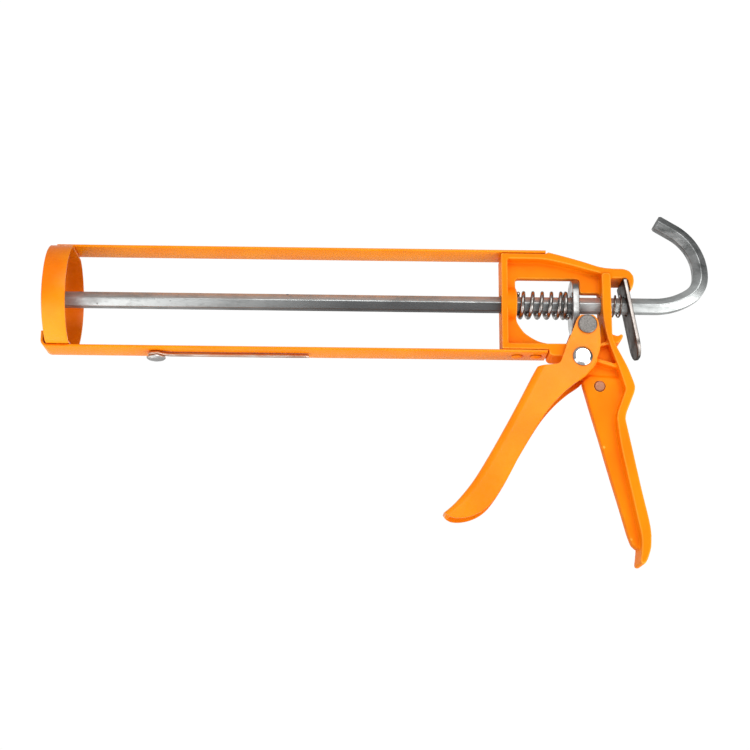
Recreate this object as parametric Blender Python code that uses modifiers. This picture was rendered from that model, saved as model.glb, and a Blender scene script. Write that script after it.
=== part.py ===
"""Caulking gun with a strap cradle, a hexagonal rod and a pressed steel trigger.

Lengths are in millimetres and are scaled to metres where meshes are made. The model is laid out
from the rod's axis: x runs back along the rod, z is up, and y = 0 is the gun's plane of symmetry.
The empty "rod_axis" carries that layout into the part's own frame, whose origin is where the
hand closes on the handle.
"""
import math

import bmesh
import bpy
from mathutils import Matrix, Vector

MM = 0.001
GAP = 0.3                     # between pieces that touch
THROUGH = 20.0                # half length of a cutter that passes right through the part
OVERLAP = 1.0                 # how far joined masses run into each other

# The grip point on the handle, seen from the rod's axis.
GRIP_X = 121.0
GRIP_Z = -75.0

# Plunger rod
ROD_FLATS = 7.6
ROD_R = ROD_FLATS / math.sqrt(3)
ROD_HOLE_R = 4.8
ROD_SHOULDER_X = -160.3
ROD_BEND_X = 141.0
SPIGOT_R = 2.5
SPIGOT_END_X = -167.2
SPIGOT_CUT_X = (-175.0, -150.0)   # the holes of the pieces on the spigot run between these
HOOK_ARCS = ((33.0, 33.0), (13.0, 55.0), (27.0, 61.0))     # radius, degrees turned
HOOK_TIP = 10.1

# Cradle: two straps and the front ring
STRAP_IN = 25.4
STRAP_T = 1.3
STRAP_OUT = STRAP_IN + STRAP_T
STRAP_HALF_W = 8.25
STRAP_END_X = 85.5
TOP_STRAP_FRONT_X = -160.6
RING_FRONT_X = -163.2
RING_REAR_X = -151.8
RING_R = 27.4
RING_T = 1.1
RING_FLAT = STRAP_IN - GAP
LIP_OUT_X = -166.0
LIP_TOP_Z = -18.7
LIP_BEND_R = 3.4
STRAP_RIVET_XS = (71.0, 80.5)
RIVET_SHANK_R = 1.6
RIVET_HEAD_R = 3.1
RIVET_SIDES = 20

# Seal-piercing wire
PIERCER_X = -109.5
PIERCER_TIP_X = -33.5
WIRE_R = 1.0
EYE_R = 3.2
WIRE_Z = -(STRAP_OUT + GAP + WIRE_R)
PIERCER_HEAD_R = 4.75
PIERCER_SHANK_R = 1.9

# Casting
CAST_TOP = STRAP_IN - GAP
FRONT_X = 63.0
FRONT_FLANGE_T = 3.0
WINDOW_X0 = 70.5
WINDOW_TOP = 13.5
WINDOW_FLOOR = -20.6
WINDOW_CORNER = [(70.9, -9.0), (74.4, -14.8), (78.5, -17.7), (82.0, -19.5)]
BLOCK_X0 = 102.9
BLOCK_Z = 6.1
LEG_X0 = 113.3
LEG_X1 = 117.8
WEB_HALF = 2.2
RIM_T = 3.0
RIM_HALF_W = 8.4
BACK_HALF_W = 9.6
HANDLE_HALF = 3.6
BOSS_R = 8.5
BOSS_X1 = 70.8
LUG_R = 8.0
LUG_HALF_W = 9.7
SLOT_Z = 12.4

# Trigger and its pins
PIVOT = (102.3, -29.4)
DRIVE_PIN = (105.1, -12.9)
EAR_OUT = 11.4
SHEET_T = 1.3
EAR_IN = EAR_OUT - SHEET_T
CHANNEL_BEND_R = 4.4
CHANNEL_DEPTHS = (60.0, 51.0, 42.0, 33.0, 24.0, 15.0, 6.0)
EAR_TOP_R = 5.7
CREASE = (86.2, -33.2)        # where the flat ear ends and the narrowing grip begins
PAST_CREASE = (-0.86, -0.51)
TAPER = 0.045
PIVOT_SHANK_R = 3.7
PIVOT_HEAD_R = 4.9
PIVOT_FACE_R = 3.8
DRIVE_SHANK_R = 2.0
DRIVE_HEAD_R = 4.7
ROLLER_R = 3.0
DOWEL = (111.6, -42.7)
DOWEL_R = 2.6
DOWEL_END_Y = 4.3

# Plates and springs
PLATE_T = 3.4
PLATE_BACK_X = DRIVE_PIN[0] - ROLLER_R - GAP
PLATE_FRONT_X = PLATE_BACK_X - PLATE_T
PLATE_HALF_W = 9.8
PLATE_TOP_Z = 12.8
PLATE_LOW_Z = -14.9
SPRING_WIRE_R = 1.0
SPRING_R = 6.3
RELEASE_HINGE = (124.9, 11.7)
RELEASE_TILT = math.radians(9.8)
RELEASE_T = 1.9
RELEASE_LENGTH = 39.8
RELEASE_HOLE_R = 5.1
RETURN_WIRE_R = 0.45
RETURN_R = 5.4
RETURN_END_X = 123.8

# Piston
DISC_R = 23.0
DISC_BACK_X = -161.9
DISC_T = 1.5
DISC_RIM_X = -164.3
WASHER_R = 8.0
NUT_R = 4.2
NUT_T = 2.5


def clear_scene():
    for obj in list(bpy.data.objects):
        bpy.data.objects.remove(obj, do_unlink=True)


def collection(name):
    group = bpy.data.collections.new(name)
    bpy.context.scene.collection.children.link(group)
    return group


clear_scene()
PARTS = collection("caulking_gun")
CUTTERS = collection("cutters")


def material(name, colour, metallic, roughness):
    mat = bpy.data.materials.new(name)
    mat.use_nodes = True
    shader = mat.node_tree.nodes["Principled BSDF"]
    shader.inputs["Base Color"].default_value = (*colour, 1.0)
    shader.inputs["Metallic"].default_value = metallic
    shader.inputs["Roughness"].default_value = roughness
    return mat


def empty(name, x, z, parent=None):
    """An empty at (x, 0, z); the parent's own place is taken into account by parenting."""
    obj = bpy.data.objects.new(name, None)
    PARTS.objects.link(obj)
    obj.location = (x * MM, 0.0, z * MM)
    obj.parent = parent
    return obj


def finish(obj, name, mat, parent, origin=(0.0, 0.0)):
    """Name a solid, give it its material and put its origin on (x, z) under the parent empty."""
    shift = Vector((origin[0] * MM, 0.0, origin[1] * MM))
    obj.data.transform(Matrix.Translation(-shift))
    obj.name = name
    obj.data.name = name
    obj.data.materials.clear()
    obj.data.materials.append(material(name, *mat))
    obj.location = shift - parent_place(parent)
    obj.parent = parent
    obj.data.shade_smooth()
    obj.data.set_sharp_from_angle(angle=math.radians(35))
    return obj


def parent_place(parent):
    """Where a joint's empty sits, measured from the rod's axis."""
    if parent is ROD_AXIS:
        return Vector((0.0, 0.0, 0.0))
    return parent.location.copy()


def link_mesh(mesh, name, group):
    obj = bpy.data.objects.new(name, mesh)
    group.objects.link(obj)
    return obj


def as_cutter(obj):
    obj.hide_render = True
    obj.display_type = "WIRE"
    return obj


def curve_to_mesh(curve_obj, group):
    """Replace a curve object with a welded mesh in the same place."""
    graph = bpy.context.evaluated_depsgraph_get()
    mesh = bpy.data.meshes.new_from_object(curve_obj.evaluated_get(graph))
    mesh.transform(curve_obj.matrix_world)
    bm = bmesh.new()
    bm.from_mesh(mesh)
    bmesh.ops.remove_doubles(bm, verts=bm.verts, dist=0.00002)
    bmesh.ops.recalc_face_normals(bm, faces=bm.faces)
    bm.to_mesh(mesh)
    bm.free()
    name = curve_obj.name
    bpy.data.objects.remove(curve_obj, do_unlink=True)
    return link_mesh(mesh, name, group)


def flat_outline(name, rings, half, turn, shift, group):
    """Extrude closed outlines to +-half; turn and shift place the drawing plane."""
    curve = bpy.data.curves.new(name, "CURVE")
    curve.dimensions = "2D"
    curve.fill_mode = "BOTH"
    curve.extrude = half * MM
    for points in rings:
        spline = curve.splines.new("POLY")
        spline.points.add(len(points) - 1)
        for slot, (u, v) in zip(spline.points, points):
            slot.co = (u * MM, v * MM, 0.0, 1.0)
        spline.use_cyclic_u = True
    obj = bpy.data.objects.new(name, curve)
    group.objects.link(obj)
    obj.rotation_euler = turn
    obj.location = tuple(s * MM for s in shift)
    bpy.context.view_layer.update()
    return curve_to_mesh(obj, group)


def side_plate(name, points, half, group=CUTTERS):
    """A side view outline (x, z), extruded to +-half in y."""
    return flat_outline(name, [points], half, (math.pi / 2, 0, 0), (0, 0, 0), group)


def cross_plate(name, rings, x0, x1, group=CUTTERS):
    """Outlines in (y, z), extruded along the rod from x0 to x1."""
    turn = (math.pi / 2, 0, math.pi / 2)
    return flat_outline(name, rings, (x1 - x0) / 2, turn, ((x0 + x1) / 2, 0, 0), group)


def box(name, low, high, group=CUTTERS):
    mesh = bpy.data.meshes.new(name)
    bm = bmesh.new()
    size = [(b - a) * MM for a, b in zip(low, high)]
    middle = [(a + b) / 2 * MM for a, b in zip(low, high)]
    place = Matrix.Translation(middle) @ Matrix.Diagonal((*size, 1.0))
    bmesh.ops.create_cube(bm, size=1.0, matrix=place)
    bm.to_mesh(mesh)
    bm.free()
    return link_mesh(mesh, name, group)


AXIS_TURN = {
    "x": Matrix.Rotation(math.pi / 2, 4, "Y"),
    "y": Matrix.Rotation(-math.pi / 2, 4, "X"),
    "z": Matrix.Identity(4),
}


def turned(name, axis, profile, centre, sides=32, group=CUTTERS):
    """A solid of revolution: profile is (distance along the axis, radius), from low to high."""
    mesh = bpy.data.meshes.new(name)
    bm = bmesh.new()
    chain = [(profile[-1][0], 0.0)] + list(reversed(profile)) + [(profile[0][0], 0.0)]
    verts = [bm.verts.new((radius * MM, 0.0, along * MM)) for along, radius in chain]
    for a, b in zip(verts, verts[1:]):
        bm.edges.new((a, b))
    bm.to_mesh(mesh)
    bm.free()
    obj = link_mesh(mesh, name, CUTTERS)
    screw = obj.modifiers.new("turn", "SCREW")
    screw.steps = sides
    screw.render_steps = sides
    screw.use_merge_vertices = True
    screw.merge_threshold = 0.00001
    graph = bpy.context.evaluated_depsgraph_get()
    solid = bpy.data.meshes.new_from_object(obj.evaluated_get(graph))
    bpy.data.objects.remove(obj, do_unlink=True)
    bm = bmesh.new()
    bm.from_mesh(solid)
    bmesh.ops.remove_doubles(bm, verts=bm.verts, dist=0.00001)
    bmesh.ops.dissolve_limit(bm, angle_limit=0.001, verts=bm.verts, edges=bm.edges)
    bmesh.ops.recalc_face_normals(bm, faces=bm.faces)
    bm.to_mesh(solid)
    bm.free()
    place = Matrix.Translation([c * MM for c in centre])
    solid.transform(place @ AXIS_TURN[axis])
    return link_mesh(solid, name, group)


def drum(name, axis, radius, low, high, centre=(0, 0, 0), sides=32, group=CUTTERS):
    """A plain cylinder between two distances along its axis."""
    return turned(name, axis, [(low, radius), (high, radius)], centre, sides, group)


def combine(obj, other, operation):
    as_cutter(other)
    step = obj.modifiers.new(operation.lower(), "BOOLEAN")
    step.operation = operation
    step.solver = "EXACT"
    step.object = other


def join(obj, *others):
    for other in others:
        combine(obj, other, "UNION")


def cut(obj, *others):
    for other in others:
        combine(obj, other, "DIFFERENCE")


def settle(obj):
    """Apply the modifiers, so that later steps see the finished mesh."""
    bpy.context.view_layer.update()
    graph = bpy.context.evaluated_depsgraph_get()
    mesh = bpy.data.meshes.new_from_object(obj.evaluated_get(graph))
    obj.modifiers.clear()
    obj.data = mesh
    return obj


def to_parts(obj):
    CUTTERS.objects.unlink(obj)
    PARTS.objects.link(obj)
    return obj


def arc(centre, radius, start, end, steps):
    """Points on an arc in the drawing plane, angles in degrees."""
    points = []
    for i in range(steps + 1):
        angle = math.radians(start + (end - start) * i / steps)
        points.append((centre[0] + radius * math.cos(angle), centre[1] + radius * math.sin(angle)))
    return points


def smooth(handles, per_span):
    """Catmull-Rom points through the handles."""
    ends = [handles[0], *handles, handles[-1]]
    points = []
    for a, b, c, d in zip(ends, ends[1:], ends[2:], ends[3:]):
        for i in range(per_span):
            t = i / per_span
            points.append(tuple(
                0.5 * (2 * q + (r - p) * t + (2 * p - 5 * q + 4 * r - s) * t * t
                       + (3 * q - p - 3 * r + s) * t ** 3)
                for p, q, r, s in zip(a, b, c, d)))
    points.append(handles[-1])
    return points


def wire(name, points, radius, sides_level=2, radii=None):
    """A round wire along the points, as a welded mesh."""
    curve = bpy.data.curves.new(name, "CURVE")
    curve.dimensions = "3D"
    curve.bevel_depth = radius * MM
    curve.bevel_resolution = sides_level
    curve.use_fill_caps = True
    spline = curve.splines.new("POLY")
    spline.points.add(len(points) - 1)
    for i, (slot, point) in enumerate(zip(spline.points, points)):
        slot.co = (*(c * MM for c in point), 1.0)
        slot.radius = radii[i] if radii else 1.0
    obj = bpy.data.objects.new(name, curve)
    CUTTERS.objects.link(obj)
    bpy.context.view_layer.update()
    return curve_to_mesh(obj, CUTTERS)


PAINT = ((0.85, 0.22, 0.01), 0.0, 0.35)
ZINC = ((0.55, 0.56, 0.56), 1.0, 0.32)
STEEL = ((0.45, 0.44, 0.43), 1.0, 0.4)
BRIGHT = ((0.8, 0.8, 0.8), 1.0, 0.15)
COPPERED = ((0.5, 0.38, 0.32), 1.0, 0.4)

ROD_AXIS = empty("rod_axis", -GRIP_X, -GRIP_Z)


# --- Casting -------------------------------------------------------------------------------------

TOP_SLOPE = [(86.0, CAST_TOP), (86.5, 25.9), (93.5, 24.1), (103.5, 21.3), (113.0, 18.2),
             (118.0, 17.6)]
HANDLE_BACK = [(118.6, -21.2), (125.4, -34.9), (128.3, -43.6), (128.0, -46.4), (123.5, -57.4),
               (122.9, -60.4), (125.0, -71.1), (129.8, -96.5), (132.6, -109.5), (133.7, -116.5)]
HANDLE_FRONT = [(125.1, -121.6), (123.4, -117.0), (119.9, -103.5), (115.2, -86.6),
                (110.8, -69.5), (106.4, -53.5), (102.9, -40.0)]
FLANGE_INNER = [(128.3, -127.3), (129.1, -119.8), (126.3, -105.3), (120.1, -73.7),
                (118.7, -60.2), (119.2, -57.0), (123.6, -45.2), (121.0, -35.9), (LEG_X0, -14.0)]
CLAW = [(124.6, 17.6), (127.6, 16.4), (129.5, 13.9), (129.9, 10.8), (128.8, 7.3), (127.7, 6.4)]
SPUR = [(116.5, -15.0), (118.3, -16.8), (121.0, -17.6), (122.5, -16.4), (123.7, -17.0),
        (122.9, -19.2), (121.2, -21.0), (118.2, -21.4), (116.5, -20.0)]


def frame_web():
    """The thin web of the rear frame, with the window for the spring and the drive plate."""
    outline = [(FRONT_X + 1, 24.0), (84.0, 24.0), (93.5, 21.8), (103.5, 19.0), (115.5, 15.5),
               (115.5, -15.0), (120.5, -30.0), (121.5, -37.0), (111.0, -46.0), (104.5, -42.0),
               *arc(PIVOT, LUG_R, -80, -215, 10), (89.0, -24.0), (FRONT_X + 1, -24.0)]
    web = side_plate("frame_web", outline, WEB_HALF)
    rear = LEG_X0 - 0.1
    window = [(WINDOW_X0, WINDOW_TOP), (WINDOW_X0, -7.0), *WINDOW_CORNER,
              (87.0, WINDOW_FLOOR), (109.5, WINDOW_FLOOR), (rear, -16.5), (rear, BLOCK_Z),
              (BLOCK_X0, BLOCK_Z), (BLOCK_X0, WINDOW_TOP)]
    cut(web, side_plate("window", window, THROUGH))
    return settle(web)


def handle_web():
    """The thicker web of the handle, with rounded edges towards the trigger."""
    outline = [(106.5, -37.0), (123.6, -38.0), (125.7, -44.5), (120.9, -58.0), (122.5, -74.0),
               (128.4, -105.0), (131.2, -119.0), (128.3, -124.7), *HANDLE_FRONT]
    web = side_plate("handle_web", outline, HANDLE_HALF)
    bevel = web.modifiers.new("round", "BEVEL")
    bevel.width = 1.8 * MM
    bevel.segments = 3
    bevel.limit_method = "ANGLE"
    bevel.angle_limit = math.radians(60)
    return settle(web)


def top_rim():
    """The rim under the top strap, running back into the claw that holds the release plate."""
    inner = [(126.4, SLOT_Z), (LEG_X0 + 1, SLOT_Z), (LEG_X0 + 1, 14.6), (103.5, 17.5),
             (93.5, 20.2), (84.0, CAST_TOP - RIM_T), (FRONT_X + 1, CAST_TOP - RIM_T)]
    return side_plate("top_rim", [(FRONT_X + 1, CAST_TOP), *TOP_SLOPE, *CLAW, *inner], RIM_HALF_W)


def bottom_rim():
    outline = [(FRONT_X + 1, -CAST_TOP), (86.2, -CAST_TOP), (86.4, -27.2), (87.8, -28.4),
               (94.6, -28.6), (95.6, -22.0), (86.0, -CAST_TOP + RIM_T),
               (FRONT_X + 1, -CAST_TOP + RIM_T)]
    return side_plate("bottom_rim", outline, RIM_HALF_W - 0.2)


def back_flange():
    """The rear leg and the handle's back, ending in the tongue at the handle's foot."""
    tongue = [(133.3, -124.0), (131.5, -129.2), (130.1, -131.6),
              *arc((129.2, -130.3), 1.4, -40, -180, 5)]
    outline = [(LEG_X0, 15.0), (LEG_X1, 15.0), (LEG_X1, -17.5), *HANDLE_BACK, *tongue,
               *FLANGE_INNER]
    return side_plate("back_flange", outline, BACK_HALF_W)


def rib(name, start, end, half_t, half_w):
    """A short rib across the web pocket behind the pivot."""
    across = Vector((start[1] - end[1], end[0] - start[0])).normalized() * half_t
    a, b = Vector(start), Vector(end)
    corners = [a + across, a - across, b - across, b + across]
    return side_plate(name, [tuple(c) for c in corners], half_w)


def cross_bore(name, radius, at, sides=32):
    """A cutter from side to side through (x, z)."""
    return drum(name, "y", radius, -THROUGH, THROUGH, (at[0], 0, at[1]), sides)


def body_casting():
    low = (FRONT_X, -RIM_HALF_W, -CAST_TOP)
    high = (FRONT_X + FRONT_FLANGE_T, RIM_HALF_W, CAST_TOP)
    body = box("front_flange", low, high)
    join(body, frame_web(), handle_web(), top_rim(), bottom_rim(), back_flange(),
         side_plate("stop_spur", SPUR, RIM_HALF_W - 1.0),
         drum("rod_boss", "x", BOSS_R, FRONT_X + 0.4, BOSS_X1),
         drum("pivot_lug", "y", LUG_R - 0.4, -LUG_HALF_W, LUG_HALF_W, (PIVOT[0], 0, PIVOT[1])),
         rib("upper_rib", (110.0, -22.6), (117.0, -20.6), 0.8, 6.6),
         rib("lower_rib", (108.5, -29.6), (121.0, -33.4), 0.9, 7.4))
    cut(body,
        drum("rod_bore", "x", ROD_HOLE_R, FRONT_X - OVERLAP, LEG_X1 + OVERLAP),
        cross_bore("pivot_bore", PIVOT_SHANK_R + GAP, PIVOT),
        cross_bore("dowel_bore", DOWEL_R + GAP, DOWEL))
    for i, x in enumerate(STRAP_RIVET_XS):
        for side in (-1, 1):
            ends = sorted((side * (CAST_TOP - RIM_T - 0.5), side * (CAST_TOP + OVERLAP)))
            cut(body, drum(f"rivet_bore_{i}_{side}", "z", RIVET_SHANK_R + GAP, *ends, (x, 0, 0),
                           RIVET_SIDES))
    return finish(to_parts(settle(body)), "body_casting", PAINT, ROD_AXIS)


# --- Cradle --------------------------------------------------------------------------------------

def flatted_circle(radius, flat):
    """A circle in (y, z) with a flat at the top and at the bottom, where the straps lie."""
    corner = math.degrees(math.asin(flat / radius))
    right = arc((0, 0), radius, -corner, corner, 16)
    left = arc((0, 0), radius, 180 - corner, 180 + corner, 16)
    return right + left


def front_ring():
    rings = [flatted_circle(RING_R, RING_FLAT), flatted_circle(RING_R - RING_T, RING_FLAT - RING_T)]
    ring = cross_plate("front_ring", rings, RING_FRONT_X, RING_REAR_X)
    return finish(to_parts(ring), "front_ring", PAINT, ROD_AXIS)


def strap_holes(strap, side):
    z = side * (STRAP_IN + STRAP_T / 2)
    for i, x in enumerate(STRAP_RIVET_XS):
        cut(strap, drum(f"strap_hole_{i}_{side}", "z", RIVET_SHANK_R + GAP, z - STRAP_T,
                        z + STRAP_T, (x, 0, 0), RIVET_SIDES))


def top_strap():
    front, rear = TOP_STRAP_FRONT_X, STRAP_END_X
    outline = [(front, STRAP_IN), (front, STRAP_OUT - 0.4), (front + 0.6, STRAP_OUT),
               (rear - 3.0, STRAP_OUT), (rear - 1.0, STRAP_OUT - 0.4), (rear, STRAP_IN + 0.2),
               (rear, STRAP_IN)]
    strap = side_plate("top_strap", outline, STRAP_HALF_W)
    strap_holes(strap, 1)
    return finish(to_parts(settle(strap)), "top_strap", PAINT, ROD_AXIS)


def bottom_strap():
    """The lower strap, whose front end turns up in front of the ring as a lip."""
    centre = (LIP_OUT_X + LIP_BEND_R, -STRAP_OUT + LIP_BEND_R)
    outer = arc(centre, LIP_BEND_R, 180, 270, 6)
    inner = arc(centre, LIP_BEND_R - STRAP_T, 270, 180, 6)
    outline = [(LIP_OUT_X, LIP_TOP_Z), *outer, (STRAP_END_X - 0.6, -STRAP_OUT),
               (STRAP_END_X, -STRAP_OUT + 0.4), (STRAP_END_X, -STRAP_IN), *inner,
               (LIP_OUT_X + STRAP_T, LIP_TOP_Z)]
    strap = side_plate("bottom_strap", outline, STRAP_HALF_W)
    strap_holes(strap, -1)
    cut(strap, drum("piercer_hole", "z", PIERCER_SHANK_R + GAP, -STRAP_OUT - OVERLAP,
                    -STRAP_IN + OVERLAP, (PIERCER_X, 0, 0), RIVET_SIDES))
    return finish(to_parts(settle(strap)), "bottom_strap", PAINT, ROD_AXIS)


def strap_rivet(name, x, side):
    """A low round head outside the strap and a shank into the casting's rim."""
    shank_end = CAST_TOP - RIM_T
    head = STRAP_OUT + GAP
    profile = [(shank_end, RIVET_SHANK_R), (head, RIVET_SHANK_R), (head, RIVET_HEAD_R),
               (head + 0.5, RIVET_HEAD_R - 0.3), (head + 1.0, 1.4)]
    if side < 0:
        profile = [(-along, radius) for along, radius in reversed(profile)]
    rivet = turned(name, "z", profile, (x, 0, 0), RIVET_SIDES)
    return finish(to_parts(rivet), name, PAINT, ROD_AXIS, (x, 0))


def piercer_rivet():
    top = -STRAP_IN + GAP
    under_head = WIRE_Z - WIRE_R - GAP
    profile = [(under_head - 1.7, 2.6), (under_head - 1.3, 4.0), (under_head - 0.7, PIERCER_HEAD_R),
               (under_head, PIERCER_HEAD_R), (under_head, PIERCER_SHANK_R), (top, PIERCER_SHANK_R),
               (top, 2.9), (top + 0.5, 2.5)]
    rivet = turned("piercer_rivet", "z", profile, (PIERCER_X, 0, 0), 28)
    return finish(to_parts(rivet), "piercer_rivet", STEEL, ROD_AXIS, (PIERCER_X, 0))


def piercing_wire():
    """An eye round the rivet, then a straight wire with a blunt end."""
    eye = arc((PIERCER_X, 0), EYE_R, 38, 322, 20)
    neck = smooth([eye[-1], (PIERCER_X + 4.6, -0.8), (PIERCER_X + 7.0, 0.0)], 3)[1:]
    straight = [(x, 0) for x in (PIERCER_X + 30, PIERCER_TIP_X - 8, PIERCER_TIP_X - 4,
                                 PIERCER_TIP_X)]
    path = [(x, y, WIRE_Z) for x, y in eye + neck + straight]
    radii = [1.0] * (len(path) - 1) + [0.9]
    obj = wire("piercing_wire", path, WIRE_R, 2, radii)
    pivot = empty("piercer_pivot", PIERCER_X, WIRE_Z, ROD_AXIS)
    return finish(to_parts(obj), "piercing_wire", COPPERED, pivot, (PIERCER_X, WIRE_Z))


# --- Rod and piston ------------------------------------------------------------------------------

def hook_path():
    """The rod's centre line: straight, then three arcs that turn it up and forward."""
    x, z, heading = ROD_BEND_X, 0.0, 0.0
    points = [(ROD_SHOULDER_X, 0.0, 0.0), (x, 0.0, z)]
    for radius, turn in HOOK_ARCS:
        steps = max(4, round(turn / 7))
        for _ in range(steps):
            step = math.radians(turn) / steps
            length = 2 * radius * math.sin(step / 2)
            heading += step / 2
            x += length * math.cos(heading)
            z += length * math.sin(heading)
            heading += step / 2
            points.append((x, 0.0, z))
    x += HOOK_TIP * math.cos(heading)
    z += HOOK_TIP * math.sin(heading)
    points.append((x, 0.0, z))
    return points


def plunger_rod(slide):
    """A hexagonal bar: a bevel level of 1 gives six sides, with flats above and below."""
    rod = wire("plunger_rod", hook_path(), ROD_R, 1)
    spigot = drum("rod_spigot", "x", SPIGOT_R, SPIGOT_END_X, ROD_SHOULDER_X + 3, sides=20)
    join(rod, spigot)
    return finish(to_parts(settle(rod)), "plunger_rod", ZINC, slide)


def spigot_hole(name):
    return drum(name, "x", SPIGOT_R + GAP, *SPIGOT_CUT_X, sides=24)


def piston_disc(slide):
    """A dished disc with its rim turned forward."""
    front = DISC_BACK_X - DISC_T
    profile = [(DISC_RIM_X, DISC_R - 1.5), (DISC_RIM_X, DISC_R - 0.3), (DISC_BACK_X - 0.6, DISC_R),
               (DISC_BACK_X, DISC_R - 1.0)]
    disc = turned("piston_disc", "x", profile, (0, 0, 0), 48)
    dish = turned("disc_dish", "x", [(DISC_RIM_X - OVERLAP, DISC_R - 1.5), (front, DISC_R - 2.0)],
                  (0, 0, 0), 48)
    cut(disc, dish, spigot_hole("disc_hole"))
    return finish(to_parts(settle(disc)), "piston_disc", ZINC, slide)


def piston_washer(slide):
    back = ROD_SHOULDER_X - GAP
    front = DISC_BACK_X + GAP
    washer = drum("piston_washer", "x", WASHER_R, front, back, sides=32)
    cut(washer, spigot_hole("washer_hole"))
    return finish(to_parts(settle(washer)), "piston_washer", ZINC, slide)


def piston_nut(slide):
    back = DISC_BACK_X - DISC_T - GAP
    nut = drum("piston_nut", "x", NUT_R, back - NUT_T, back, sides=6)
    cut(nut, spigot_hole("nut_hole"))
    return finish(to_parts(settle(nut)), "piston_nut", ZINC, slide)


# --- Springs and plates --------------------------------------------------------------------------

def coil(start_x, end_x, radius, wire_r, active, front_dead, back_dead, per_turn, squeeze=1.05):
    """A helix about the rod with closed end turns."""
    dead_pitch = 2 * wire_r * squeeze
    pitch = (end_x - start_x - dead_pitch * (front_dead + back_dead)) / active
    turns = front_dead + active + back_dead
    points = []
    count = round(turns * per_turn)
    for i in range(count + 1):
        t = turns * i / count
        x = start_x + dead_pitch * min(t, front_dead)
        x += pitch * min(max(t - front_dead, 0), active)
        x += dead_pitch * max(t - front_dead - active, 0)
        angle = math.tau * t
        points.append((x, radius * math.sin(angle), radius * math.cos(angle)))
    return points


def main_spring():
    start = BOSS_X1 + GAP + SPRING_WIRE_R
    end = PLATE_FRONT_X - GAP - SPRING_WIRE_R
    points = coil(start, end, SPRING_R, SPRING_WIRE_R, 4.3, 0.75, 1.5, 16)
    spring = wire("main_spring", points, SPRING_WIRE_R)
    return finish(to_parts(spring), "main_spring", STEEL, ROD_AXIS)


def release_spring():
    start = LEG_X1 + GAP + RETURN_WIRE_R
    points = coil(start, RETURN_END_X, RETURN_R, RETURN_WIRE_R, 1.4, 0.3, 0.3, 18, 1.15)
    spring = wire("release_spring", points, RETURN_WIRE_R)
    return finish(to_parts(spring), "release_spring", STEEL, ROD_AXIS)


def tongue_outline(half_w, top, low, top_r, low_r):
    """A plate outline in (y, z) with rounded corners, larger below than above if wanted."""
    return [*arc((half_w - top_r, top - top_r), top_r, 0, 90, 8),
            *arc((-half_w + top_r, top - top_r), top_r, 90, 180, 8),
            *arc((-half_w + low_r, low + low_r), low_r, 180, 270, 8),
            *arc((half_w - low_r, low + low_r), low_r, 270, 360, 8)]


def drive_plate():
    outline = tongue_outline(PLATE_HALF_W, PLATE_TOP_Z, PLATE_LOW_Z, 9.0, 9.6)
    plate = cross_plate("drive_plate", [outline, arc((0, 0), ROD_HOLE_R, 0, 345, 23)],
                        PLATE_FRONT_X, PLATE_BACK_X)
    return finish(to_parts(plate), "drive_plate", ZINC, ROD_AXIS)


def release_plate():
    """A thumb plate hung by its top edge in the claw, leaning back off the rod."""
    hole_z = -RELEASE_HINGE[1] / math.cos(RELEASE_TILT)
    outline = tongue_outline(PLATE_HALF_W, 0.4, -RELEASE_LENGTH, 1.2, 8.2)
    plate = cross_plate("release_plate", [outline, arc((0, hole_z), RELEASE_HOLE_R, 0, 345, 23)],
                        -RELEASE_T / 2, RELEASE_T / 2)
    hinge = empty("release_hinge", *RELEASE_HINGE, ROD_AXIS)
    hinge.rotation_euler = (0, -RELEASE_TILT, 0)
    plate = finish(to_parts(plate), "release_plate", ZINC, ROD_AXIS)
    plate.parent = hinge
    plate.location = (0, 0, 0)
    return plate


# --- Trigger -------------------------------------------------------------------------------------

GRIP_FRONT = [(95.0, -8.0), (89.0, -19.5), (83.1, -29.6), (78.4, -37.2), (69.4, -54.4),
              (59.1, -73.2), (49.2, -89.8), (41.7, -99.6), (35.9, -105.4), (27.0, -112.4)]
TRIGGER_REAR = [(110.6, -11.6), (111.3, -16.5), (111.3, -23.7), (109.6, -29.8), (106.9, -35.2),
                (103.2, -39.6), (96.8, -44.2), (89.6, -50.8), (81.9, -60.4), (71.8, -77.0),
                (64.7, -90.3), (58.1, -100.6), (53.2, -105.8), (48.0, -108.7), (42.8, -110.0),
                (38.6, -110.0), (35.8, -108.9), (34.0, -107.2)]


def narrowed(x, z):
    """How much narrower the grip is than the ears, past the crease between them."""
    past = (x - CREASE[0]) * PAST_CREASE[0] + (z - CREASE[1]) * PAST_CREASE[1]
    return (EAR_OUT - TAPER * max(past, 0.0)) / EAR_OUT


def channel_section():
    """(depth behind the grip's front, y) round the channel's U, from one edge to the other."""
    bend = [(CHANNEL_BEND_R * (1 - math.sin(a)), CHANNEL_BEND_R * math.cos(a))
            for a in (math.radians(18 * i) for i in range(6))]
    flat_half = EAR_OUT - CHANNEL_BEND_R
    flank = [(depth, EAR_OUT) for depth in CHANNEL_DEPTHS]
    right = flank + [(depth, flat_half + y) for depth, y in bend]
    return right + [(depth, -y) for depth, y in reversed(right)]


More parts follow.
